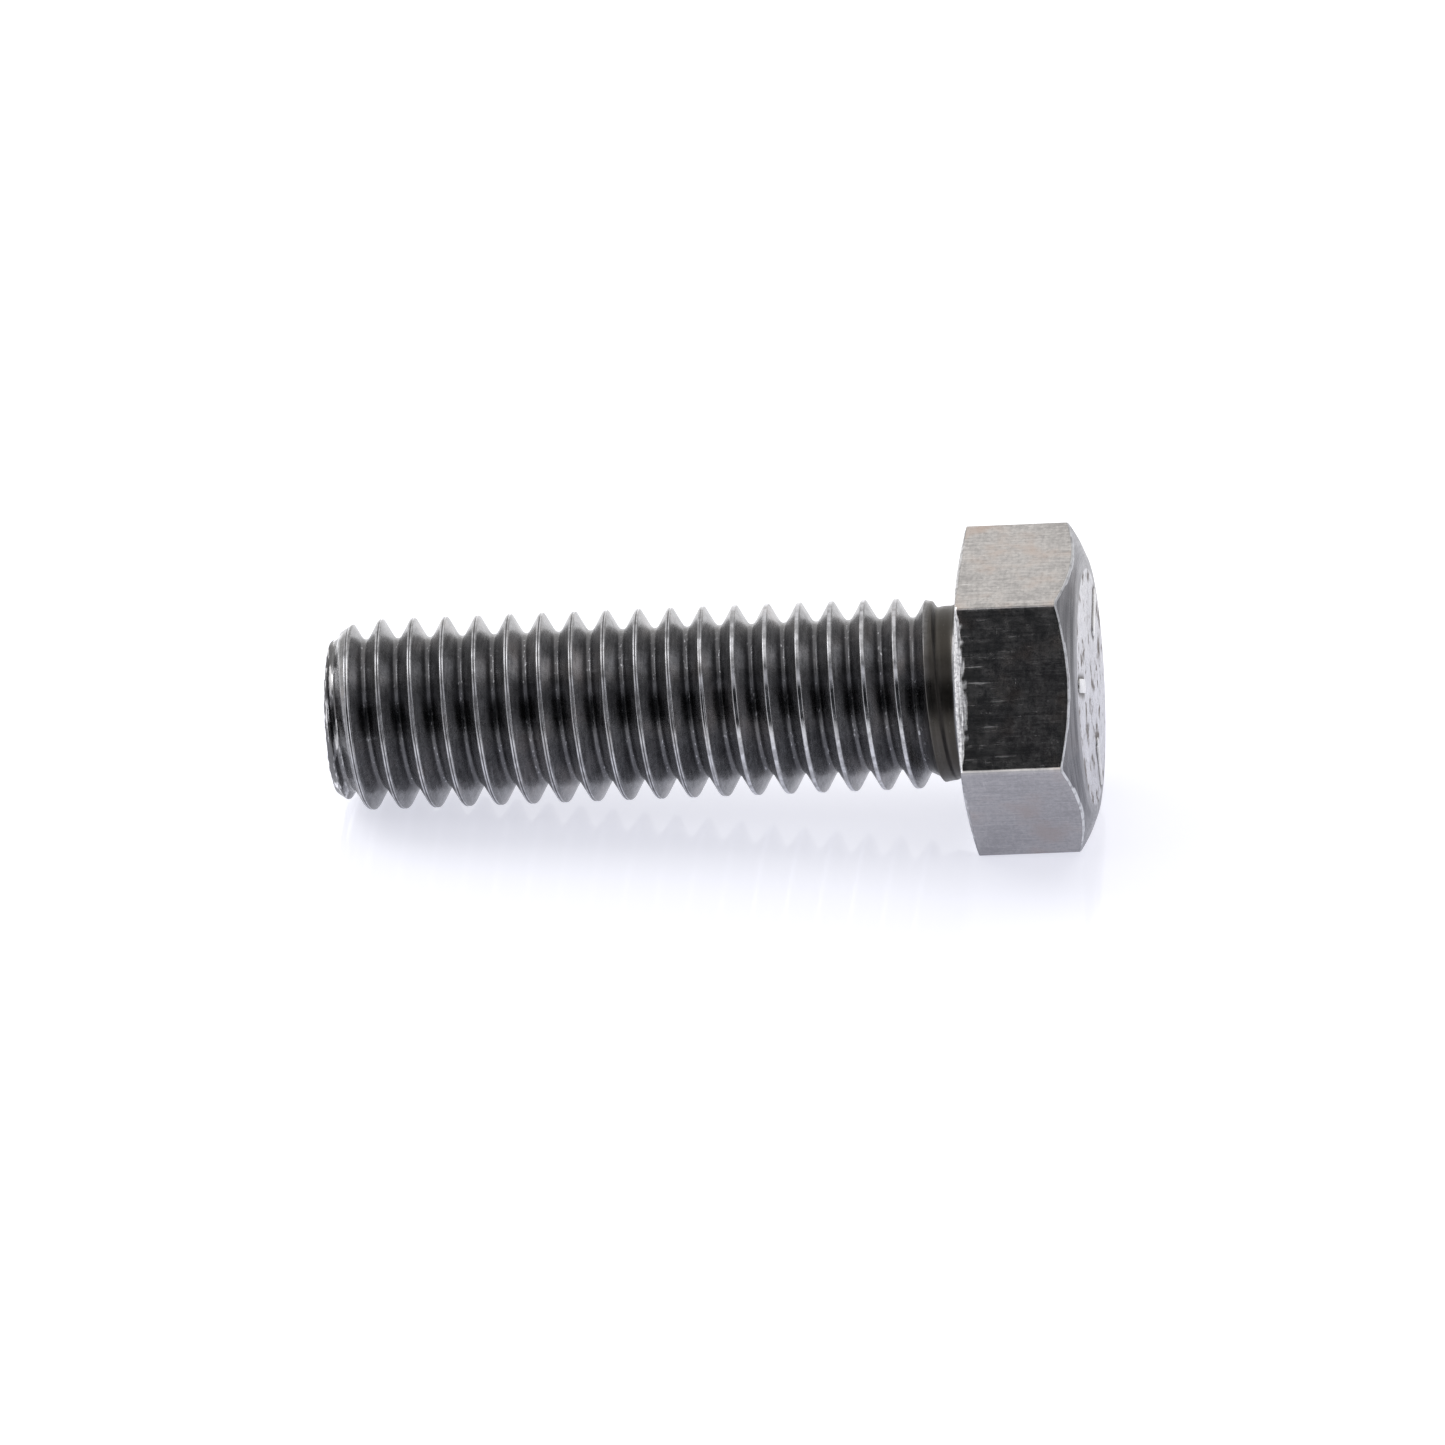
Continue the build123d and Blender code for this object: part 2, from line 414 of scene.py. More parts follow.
# the rolled thread, its point and its run-out to the neck, as one ribbon wound on a helix
thread = {
    "Pitch": 1.5875 * mm,
    "Crest Radius": crestRadius - 0.012 * mm,  # leaves room for the roughness
    "Root Radius": 3.71 * mm,
    "Crest Width": 0.198 * mm,
    "Flank Angle": radians(30),
    "Crest Offset": -0.11 * mm,
    "Crest Rounding": 0.10 * mm,
    "Root Rounding": 0.30 * mm,
    "Seam Depth": 0.030 * mm,
    "Seam Width": 0.026 * mm,
    "Seam Fade Start": -14.5 * mm,
    "Seam Fade End": -10.5 * mm,
    "Tip": tipX,
    "Point Radius": 3.75 * mm,
    "Point Slope": 0.70,
    "Point Rounding": 0.6 * mm,
    "Neck Radius": 4.22 * mm,
    "Crest Fade Start": -2.9 * mm,
    "Crest Fade End": -0.2 * mm,
    "Root Fade Start": -2.6 * mm,
    "Root Fade End": -1.0 * mm,
    "Fillet": 0.4 * mm,
    "Roughness": 0.010 * mm,
    "Seed": 5.0,
}
threadCounts = {"Turns": 23, "Segments Per Turn": 84, "Samples Per Pitch": 40}
threadCrowding = 0.6  # how much closer the samples lie at the crest than on average
closedSeam = 0.08  # what is left of the seam's depth where it has closed
threadLumps = {
    "grain": 900.0,
    "tipReach": 1.0 * mm,
    "tipGain": 6.0,  # how much rougher the tip is
    "most": 0.011 * mm,  # how far a lump may stand out of the crest
}
weldDistance = 0.0015 * mm


def threadTree(material):
    tree = bpy.data.node_groups.new("rolledThread", "GeometryNodeTree")
    tree.is_modifier = True
    for key in thread:
        tree.interface.new_socket(key, in_out="INPUT", socket_type="NodeSocketFloat")
    for key in threadCounts:
        tree.interface.new_socket(key, in_out="INPUT", socket_type="NodeSocketInt")
    tree.interface.new_socket("Geometry", in_out="OUTPUT", socket_type="NodeSocketGeometry")
    given = addNode(tree, "NodeGroupInput").outputs
    pitch = given["Pitch"]
    grid = addNode(tree, "GeometryNodeMeshGrid")
    steps = calc(tree, "MULTIPLY", given["Turns"], given["Segments Per Turn"])
    feed(tree, calc(tree, "ADD", steps, 1.0), grid.inputs["Vertices X"])
    feed(tree, calc(tree, "ADD", given["Samples Per Pitch"], 1.0), grid.inputs["Vertices Y"])
    spot = addNode(tree, "ShaderNodeSeparateXYZ")
    feed(tree, addNode(tree, "GeometryNodeInputPosition").outputs[0], spot.inputs[0])
    along = calc(tree, "ADD", spot.outputs[0], 0.5)
    # samples crowd together at the crest, where the seam is
    waver = calc(tree, "SINE", calc(tree, "MULTIPLY", spot.outputs[1], 2 * pi))
    across = calc(tree, "SUBTRACT", spot.outputs[1],
                  calc(tree, "MULTIPLY", waver, threadCrowding / (2 * pi)))
    # the crest line's place, one turn before the tip to start with, and its angle round the axis
    firstTurn = calc(tree, "SUBTRACT", calc(tree, "FLOOR", calc(tree, "DIVIDE", calc(
        tree, "SUBTRACT", given["Tip"], given["Crest Offset"]), pitch)), 1.0)
    turn = calc(tree, "ADD", firstTurn, calc(tree, "MULTIPLY", along, given["Turns"]))
    angle = calc(tree, "MULTIPLY", turn, 2 * pi)
    x = calc(tree, "ADD", given["Crest Offset"],
             calc(tree, "MULTIPLY", calc(tree, "ADD", turn, across), pitch))
    offCrest = calc(tree, "MULTIPLY", calc(tree, "ABSOLUTE", across), pitch)
    sine = calc(tree, "MULTIPLY", calc(tree, "SINE", angle), -1.0)
    cosine = calc(tree, "COSINE", angle)
    # crest and root heights along the bolt: turned down at the point, washed out at the neck
    fromTip = calc(tree, "SUBTRACT", x, given["Tip"])
    cone = calc(tree, "ADD", given["Point Radius"], calc(tree, "MULTIPLY", fromTip, given["Point Slope"]))
    crest = calc(tree, "SMOOTH_MIN", given["Crest Radius"], cone, given["Point Rounding"])
    crestFade = fade(tree, x, given["Crest Fade Start"], given["Crest Fade End"])
    crest = calc(tree, "SUBTRACT", crest, calc(tree, "MULTIPLY", crestFade, calc(
        tree, "SUBTRACT", given["Crest Radius"], given["Neck Radius"])))
    rootFade = fade(tree, x, given["Root Fade Start"], given["Root Fade End"])
    root = calc(tree, "ADD", given["Root Radius"], calc(tree, "MULTIPLY", rootFade, calc(
        tree, "SUBTRACT", given["Neck Radius"], given["Root Radius"])))
    # straight flanks between the two
    halfCrest = calc(tree, "MULTIPLY", given["Crest Width"], 0.5)
    fall = calc(tree, "DIVIDE", calc(tree, "SUBTRACT", offCrest, halfCrest),
                calc(tree, "TANGENT", given["Flank Angle"]))
    flank = calc(tree, "SUBTRACT", given["Crest Radius"], fall)
    radius = calc(tree, "SMOOTH_MAX", calc(tree, "SMOOTH_MIN", flank, crest, given["Crest Rounding"]),
                  root, given["Root Rounding"])
    # the seam that rolling leaves along the crest
    share = calc(tree, "DIVIDE", offCrest, given["Seam Width"])
    seam = calc(tree, "EXPONENT", calc(tree, "MULTIPLY", calc(tree, "MULTIPLY", share, share), -1.0))
    openSeam = fade(tree, x, given["Seam Fade Start"], given["Seam Fade End"], 1.0, closedSeam)
    seam = calc(tree, "MULTIPLY", seam, openSeam)
    radius = calc(tree, "SUBTRACT", radius, calc(tree, "MULTIPLY", seam, given["Seam Depth"]))
    # the fillet into the head
    intoFillet = calc(tree, "MAXIMUM", calc(tree, "ADD", x, given["Fillet"]), 0.0)
    intoFillet = calc(tree, "MINIMUM", intoFillet, given["Fillet"])
    drop = calc(tree, "SQRT", calc(
        tree, "SUBTRACT", calc(tree, "MULTIPLY", given["Fillet"], given["Fillet"]),
        calc(tree, "MULTIPLY", intoFillet, intoFillet)))
    radius = calc(tree, "ADD", radius, calc(tree, "SUBTRACT", given["Fillet"], drop))
    # roughness, read where the surface is, so that neighbouring turns agree at their join
    spotOn = addNode(tree, "ShaderNodeCombineXYZ")
    feed(tree, x, spotOn.inputs[0])
    feed(tree, calc(tree, "MULTIPLY", sine, given["Crest Radius"]), spotOn.inputs[1])
    feed(tree, calc(tree, "MULTIPLY", cosine, given["Crest Radius"]), spotOn.inputs[2])
    lumps = calc(tree, "SUBTRACT", cloud(
        tree, spotOn.outputs[0], threadLumps["grain"], 4.0, given["Seed"], 0.6), 0.5)
    nearTip = fade(tree, fromTip, 0.0, threadLumps["tipReach"], threadLumps["tipGain"], 1.0)
    lumps = calc(tree, "MULTIPLY", calc(tree, "MULTIPLY", lumps, nearTip),
                 calc(tree, "MULTIPLY", given["Roughness"], 2.0))
    radius = calc(tree, "ADD", radius, lumps)
    radius = calc(tree, "MINIMUM", radius, calc(tree, "ADD", given["Crest Radius"], threadLumps["most"]))
    finalSpot = addNode(tree, "ShaderNodeCombineXYZ")
    feed(tree, x, finalSpot.inputs[0])
    feed(tree, calc(tree, "MULTIPLY", sine, radius), finalSpot.inputs[1])
    feed(tree, calc(tree, "MULTIPLY", cosine, radius), finalSpot.inputs[2])
    keep = addNode(tree, "GeometryNodeStoreNamedAttribute", data_type="FLOAT", domain="POINT")
    keep.inputs["Name"].default_value = "offCrest"  # kept for the material, before the ribbon is bent
    feed(tree, offCrest, keep.inputs["Value"])
    feed(tree, grid.outputs[0], keep.inputs["Geometry"])
    setSpot = addNode(tree, "GeometryNodeSetPosition")
    feed(tree, keep.outputs[0], setSpot.inputs["Geometry"])
    feed(tree, finalSpot.outputs[0], setSpot.inputs["Position"])
    weld = addNode(tree, "GeometryNodeMergeByDistance")
    weld.inputs["Distance"].default_value = weldDistance
    feed(tree, setSpot.outputs[0], weld.inputs["Geometry"])
    realize = addNode(tree, "GeometryNodeRealizeInstances")
    feed(tree, weld.outputs[0], realize.inputs[0])
    setMaterial = addNode(tree, "GeometryNodeSetMaterial")
    feed(tree, realize.outputs[0], setMaterial.inputs["Geometry"])
    setMaterial.inputs["Material"].default_value = material
    feed(tree, setMaterial.outputs[0], addNode(tree, "NodeGroupOutput").inputs[0])
    return tree


# an object whose mesh is what a tree makes of the given inputs, with the modifier gone
def grown(name, tree, values):
    holder = bpy.data.objects.new(name, bpy.data.meshes.new(name))
    bpy.context.scene.collection.objects.link(holder)
    modifier = holder.modifiers.new(name, "NODES")
    modifier.node_group = tree
    for item in tree.interface.items_tree:
        if item.in_out == "INPUT":
            modifier[item.identifier] = values[item.name]
    bpy.context.view_layer.update()
    evaluated = holder.evaluated_get(bpy.context.evaluated_depsgraph_get())
    mesh = bpy.data.meshes.new_from_object(evaluated)
    bpy.data.objects.remove(holder)
    return mesh


# faces turned outwards, and each vertex's own direction kept for the pieces that are cut from this mesh
def readied(mesh):
    work = bmesh.new()
    work.from_mesh(mesh)
    bmesh.ops.recalc_face_normals(work, faces=work.faces)
    outward = max(work.faces, key=lambda face: face.calc_center_median().yz.length)
    if outward.normal.yz.dot(outward.calc_center_median().yz) < 0:
        bmesh.ops.reverse_faces(work, faces=work.faces)
    work.normal_update()
    layer = work.verts.layers.float_vector.new("ownNormal")
    for vertex in work.verts:
        vertex[layer] = vertex.normal
    return work


# how many closed loops a set of edges makes
def loopCount(edges):
    left, loops = set(edges), 0
    while left:
        loops += 1
        reached = [left.pop()]
        while reached:
            edge = reached.pop()
            nextOnes = {other for vertex in edge.verts for other in vertex.link_edges if other in left}
            left -= nextOnes
            reached += nextOnes
    return loops


atCut = 1e-7  # a vertex this near a cutting plane lies on it


# one piece: the part of a long mesh between two planes across the bolt, with flat hidden ends
def pieceBetween(name, whole, lowX, highX, material, endMaker=None):
    work = whole.copy()
    cuts = [(lowX, -1.0)] * (lowX is not None) + [(highX, 1.0)] * (highX is not None)
    for cutX, side in cuts:
        everything = list(work.verts) + list(work.edges) + list(work.faces)
        bmesh.ops.bisect_plane(work, geom=everything, dist=1e-9, plane_co=(cutX, 0, 0),
                               plane_no=(side, 0, 0), clear_outer=True)
        rim = [edge for edge in work.edges if edge.is_boundary
               and all(abs(vertex.co.x - cutX) < atCut for vertex in edge.verts)]
        if endMaker and side < 0:
            endMaker(work, rim)
            continue
        # a cut through a ring leaves two loops, joined by a band; any other is closed by a fan of triangles
        isRing = loopCount(rim) == 2
        if isRing:
            made = bmesh.ops.bridge_loops(work, edges=rim)["faces"]
        else:
            made = bmesh.ops.contextual_create(work, geom=rim)["faces"]
        for edge in rim:
            edge.smooth = False
        for face in made:
            face.normal_update()
            if face.normal.x * side < 0:
                face.normal_flip()
        if not isRing:
            bmesh.ops.poke(work, faces=made)
    layer = work.verts.layers.float_vector["ownNormal"]
    flatEnds = [cutX for cutX, side in cuts if not (endMaker and side < 0)]
    for face in work.faces:
        face.smooth = True
    work.verts.index_update()
    work.faces.index_update()
    own = [Vector(vertex[layer]) for vertex in work.verts]
    onCut = [any(abs(vertex.co.x - cutX) < atCut for cutX in flatEnds) for vertex in work.verts]
    normals = []
    for face in work.faces:
        isEnd = all(onCut[vertex.index] for vertex in face.verts)
        for loop in face.loops:
            index = loop.vert.index
            normals.append(own[index] if onCut[index] and not isEnd else Vector((0, 0, 0)))
    work.verts.layers.float_vector.remove(layer)
    mesh = bpy.data.meshes.new(name)
    work.to_mesh(mesh)
    work.free()
    mesh.normals_split_custom_set(normals)
    mesh.materials.clear()
    mesh.materials.append(material)
    piece = bpy.data.objects.new(name, mesh)
    bpy.context.scene.collection.objects.link(piece)
    return piece


# the rough end of the point: a lumpy rounded edge round a shallow dish
pointEnd = {
    "rings": 14,
    "edgeRings": 3,
    "edge": 0.07 * mm,
    "inward": 0.14 * mm,
    "dish": 0.12 * mm,
    "innerRadius": 0.03 * mm,
    "lumps": 0.09 * mm,
    "lumpGrain": 2200,
    "lumpNoise": (0.8, 2.0, 4),
    "lumpRise": 0.4,
}


def makePointEnd(work, rim):
    edges = rim
    edgeRings = pointEnd["edgeRings"]
    bevelRadius = thread["Point Radius"] - pointEnd["inward"]
    for ring in range(1, pointEnd["rings"] + 1):
        made = bmesh.ops.extrude_edge_only(work, edges=edges)["geom"]
        edges = [item for item in made if isinstance(item, bmesh.types.BMEdge)]
        if ring <= edgeRings:
            turn = ring / edgeRings * pi / 2
            radius = thread["Point Radius"] - pointEnd["inward"] * (1 - cos(turn))
            x = tipX + pointEnd["edge"] * (1 - sin(turn))
        else:
            inward = (ring - edgeRings) / (pointEnd["rings"] - edgeRings)
            radius = bevelRadius * (1 - inward) + pointEnd["innerRadius"] * inward
            x = tipX + pointEnd["dish"] * (1 - (1 - inward) ** 2)
        for vertex in {vertex for edge in edges for vertex in edge.verts}:
            direction = vertex.co.yz.normalized()
            spot = Vector((direction.x * radius, direction.y * radius, 0)) * pointEnd["lumpGrain"]
            lump = noise.fractal(spot, *pointEnd["lumpNoise"])
            depth = max(0.0, pointEnd["lumpRise"] + lump) * pointEnd["lumps"]
            vertex.co = (x + depth, direction.x * radius, direction.y * radius)
    # the last ring is drawn together to close the end
    middle = [vertex for vertex in work.verts if vertex.co.yz.length < pointEnd["innerRadius"] * 2]
    bmesh.ops.remove_doubles(work, verts=middle, dist=0.08 * mm)


threadSteel = steelMaterial("threadSteel", markThread)
threadMesh = grown("rolledThread", threadTree(threadSteel), {**thread, **threadCounts})
wholeThread = readied(threadMesh)
chamferedPoint = pieceBetween("chamferedPoint", wholeThread, tipX + pointEnd["edge"], pointHigh.x,
                              threadSteel, makePointEnd)
threadedShank = pieceBetween("threadedShank", wholeThread, pointHigh.x, shankHigh.x, threadSteel)
plainNeck = pieceBetween("plainNeck", wholeThread, shankHigh.x, neckHigh.x, threadSteel)
wholeThread.free()
print("thread made:", len(threadedShank.data.polygons), "faces on the shank")


# the head: one skin drawn down from the top, over the cone and the flats, to the bearing face
head = {
    "columns": 288,
    "topRadius": 6.4 * mm,
    "topLevel": 5.985 * mm,
    "rimRadius": 5.7 * mm,  # inside this the top is scaly, outside it slopes smoothly to the cone
    "rimDrop": 0.07 * mm,
    "topLean": 0.0150,  # the top is a little out of square, lower on this side
    "leanAngle": radians(150),
    "coneAngle": radians(27),
    "cornerBlend": 0.03 * mm,
    "bearingRadius": 6.9 * mm,
    "bearingBack": 0.18 * mm,  # how far the corners stand back from the bearing face
    "bevelLeast": 0.03 * mm,
    "edgeDepth": 0.05 * mm,  # the painted highlight line lies this far above where the cone's look begins
    "edgeWidth": 0.07 * mm,
    "edgeInside": 0.2 * mm,
    "leanFrom": 4.0 * mm,
    "leanRun": 1.5 * mm,
    "upperLevel": 5 * mm,  # the cone and the top lie above this
    "tornHeight": 0.64 * mm,
    "tornDepth": 0.15 * mm,
    "tornGrit": 0.035 * mm,
    "tornInside": 6.7 * mm,
    "tornEdge": 0.05 * mm,
    "tornCurve": 1.4,
    "tornNoise": (0.5, 2.2, 4),
    "surface": 0.005 * mm,
    "surfaceNoise": (0.9, 2.0, 4),
    "topScale": 0.050 * mm,
    "topNoise": (0.8, 2.1, 5),
    "topFade": 0.4 * mm,
    "crowding": 0.8,  # how much closer the columns lie at the corners than on average
    "seed": 17.0,
}

# three plain bars raised on the top
bars = {
    "Count": 3,
    "Centre Radius": 4.2 * mm,
    "Length": 2.6 * mm,
    "Width": 0.7 * mm,
    "Height": 0.08 * mm,
    "First Angle": radians(30),
    "Top Level": head["topLevel"] - head["surface"],
    "Top Lean": head["topLean"],
    "Lean Angle": head["leanAngle"],
}

headSteel = steelMaterial("headSteel", markHead)
bearingSteel = steelMaterial("bearingSteel", markHead)
barSteel = steelMaterial("barSteel")


# how far the hexagon reaches in a direction, with its corners turned off round
def hexagonReach(toFlat):
    straight = flatDistance / cos(toFlat)
    blend = head["cornerBlend"]
    overlap = max(blend - abs(straight - cornerDistance), 0.0) / blend
    return min(straight, cornerDistance) - overlap ** 2 * blend / 4


def roundedPath(points, rounding, straightSteps, arcSteps):
    out = [Vector(points[0])]
    for here, (before, corner, after) in enumerate(zip(points, points[1:], points[2:])):
        before, corner, after = Vector(before), Vector(corner), Vector(after)
        reach = min(rounding[here], (corner - before).length * 0.45, (after - corner).length * 0.45)
        start = corner + (before - corner).normalized() * reach
        finish = corner + (after - corner).normalized() * reach
        first = out[-1]
        out += [first.lerp(start, step / straightSteps[here]) for step in range(1, straightSteps[here] + 1)]
        for step in range(1, arcSteps + 1):
            share = step / arcSteps
            out.append(start.lerp(corner, share).lerp(corner.lerp(finish, share), share))
    first, last, steps = out[-1], Vector(points[-1]), straightSteps[-1]
    out += [first.lerp(last, step / steps) for step in range(1, steps + 1)]
    return out


# the sheared strip that the trimming die left along the bearing edge of each flat, and how much painted
# shade each flat carries, most on the flats turned towards the table, by the flat's angle round the axis
tornFlats = {150: 1.0, 90: 0.36, 210: 0.30, 30: 0.75, 330: 0.55, 270: 0.65}
shadedFlats = {150: 0.0, 90: 0.0, 210: 1.0, 30: 0.35, 330: 0.5, 270: 0.7}


def tornReach(flat, toFlat):
    offset = abs(toFlat) / (pi / 6)
    jag = noise.fractal(Vector((flat + toFlat * 26, head["seed"], 0)), 0.6, 2.2, 6)
    return head["tornHeight"] * tornFlats[flat] * max(0.45, (1 - offset ** 6) * (0.85 + 0.50 * jag))


# where the cone ends on the side, which is lower at the corners
def coneFoot(reach):
    return head["topLevel"] - (reach - head["topRadius"]) * tan(head["coneAngle"])


# the way down one column, from the top's middle to the bearing face's hole
column = {
    "middle": 0.05 * mm,
    "sideStop": 0.9 * mm,  # below this the side has closer rows, for the torn strip
    "rounding": (0.20 * mm, 0.16 * mm, 0.09 * mm, 0.01 * mm, 0.05 * mm, 0.04 * mm, 0.01 * mm, 0.01 * mm),
    "steps": (32, 4, 10, 20, 22, 2, 10, 2, 3),  # rows on each straight
    "arcSteps": 4,
}


def headColumn(reach, bevel):
    points = [(column["middle"], head["topLevel"]), (head["rimRadius"], head["topLevel"]),
              (head["topRadius"], head["topLevel"] - head["rimDrop"]), (reach, coneFoot(reach)),
              (reach, column["sideStop"]), (reach, bevel), (head["bearingRadius"], 0.0), (neckFlare, 0.0),
              (neckFlare, washerHigh.x), (column["middle"], washerHigh.x)]
    return roundedPath(points, column["rounding"], column["steps"], column["arcSteps"])


def headSkin():
    work = bmesh.new()
    tornLayer = work.verts.layers.float.new("torn")
    forgedLayer = work.verts.layers.float.new("forged")
    topLayer = work.verts.layers.float.new("onTop")
    paintedShadeLayer = work.verts.layers.float.new("paintedShade")
    edgeHighlightLayer = work.verts.layers.float.new("highlightAndWear")
    seedSpot = Vector((0, 0, head["seed"]))
    rows = []
    perFlat = head["columns"] // 6
    for number in range(head["columns"]):
        flat = 30 + 60 * (number // perFlat)
        share = 2 * (number % perFlat) / perFlat - 1
        # columns crowd together at the corners
        toFlat = pi / 6 * (share + head["crowding"] * sin(pi * share) / pi)
        angle = radians(flat) + toFlat
        reach = hexagonReach(toFlat)
        towards = Vector((cos(angle), sin(angle)))
        lean = head["topLean"] * cos(angle - head["leanAngle"])
        outwards = (reach - head["bearingRadius"]) / (cornerDistance - head["bearingRadius"])
        bevel = max(head["bevelLeast"], head["bearingBack"] * outwards)
        torn = tornReach(flat, toFlat)
        row = []
        flatTop = coneFoot(reach) - head["edgeDepth"]
        for radius, x in headColumn(reach, bevel):
            isForged = x > flatTop
            isTop = x > head["upperLevel"] and radius < head["rimRadius"]
            isEdge = (abs(x - flatTop - head["edgeDepth"]) < head["edgeWidth"]
                      and radius > head["topRadius"] + head["edgeInside"])
            x -= max(0.0, min(1.0, (x - head["leanFrom"]) / head["leanRun"])) * lean * radius
            spot = Vector((x, towards.x * radius, towards.y * radius))
            rough = noise.fractal(spot * 700 + seedSpot, *head["surfaceNoise"]) * head["surface"]
            inStrip = 0.0
            if radius > head["tornInside"] and x < torn:
                inStrip = min(1.0, (torn - x) / head["tornEdge"])
                grit = noise.fractal(spot * 5200, *head["tornNoise"])
                droop = head["tornDepth"] * ((torn - x) / torn) ** head["tornCurve"]
                radius -= droop + inStrip * head["tornGrit"] * abs(grit) * min(1.0, x / (0.08 * mm) + 0.3)
            elif radius > head["topRadius"] - 0.1 * mm and 0.02 * mm < x:
                radius = min(radius + rough, reach)
            elif x > head["upperLevel"]:
                scale = noise.fractal(spot * 1100 + Vector((0, 9, 0)), *head["topNoise"])
                inside = min(1.0, max(0.0, (head["rimRadius"] + 0.1 * mm - radius) / head["topFade"]))
                x -= head["surface"] + abs(scale) * head["topScale"] * inside
            elif radius > neckFlare + 0.1 * mm:
                x = max(0.0, x + abs(rough))
            vertex = work.verts.new((x, towards.x * radius, towards.y * radius))
            vertex[tornLayer] = inStrip * min(1.0, tornFlats[flat] / 0.7)
            vertex[forgedLayer] = float(isForged)
            vertex[topLayer] = float(isTop)
            vertex[paintedShadeLayer] = shadedFlats[flat]
            vertex[edgeHighlightLayer] = float(isEdge)
            row.append(vertex)
        rows.append(row)
    for first, second in zip(rows, rows[1:] + rows[:1]):
        for upper, lower, lowerNext, upperNext in zip(first, first[1:], second[1:], second):
            work.faces.new((upper, lower, lowerNext, upperNext))
    topCap = work.faces.new([row[0] for row in rows])
    lowCap = work.faces.new([row[-1] for row in reversed(rows)])
    middles = bmesh.ops.poke(work, faces=[topCap, lowCap])["verts"]
    for vertex in middles:
        vertex[forgedLayer] = 1.0
        vertex[topLayer] = 1.0
    mesh = bpy.data.meshes.new("headSkin")
    work.to_mesh(mesh)
    work.free()
    return mesh


wholeHead = readied(headSkin())
halfGap = 0.001 * mm  # between the hexagon and its washer face
hexHead = pieceBetween("hexHead", wholeHead, washerHigh.x + halfGap, None, headSteel)
washerFace = pieceBetween("washerFace", wholeHead, None, washerHigh.x - halfGap, bearingSteel)
wholeHead.free()
print("head made:", len(hexHead.data.polygons), "faces")


# the bars themselves, rounded and set on the slope of the top
barShape = {"segments": 40, "rings": 28, "flatness": 0.35}


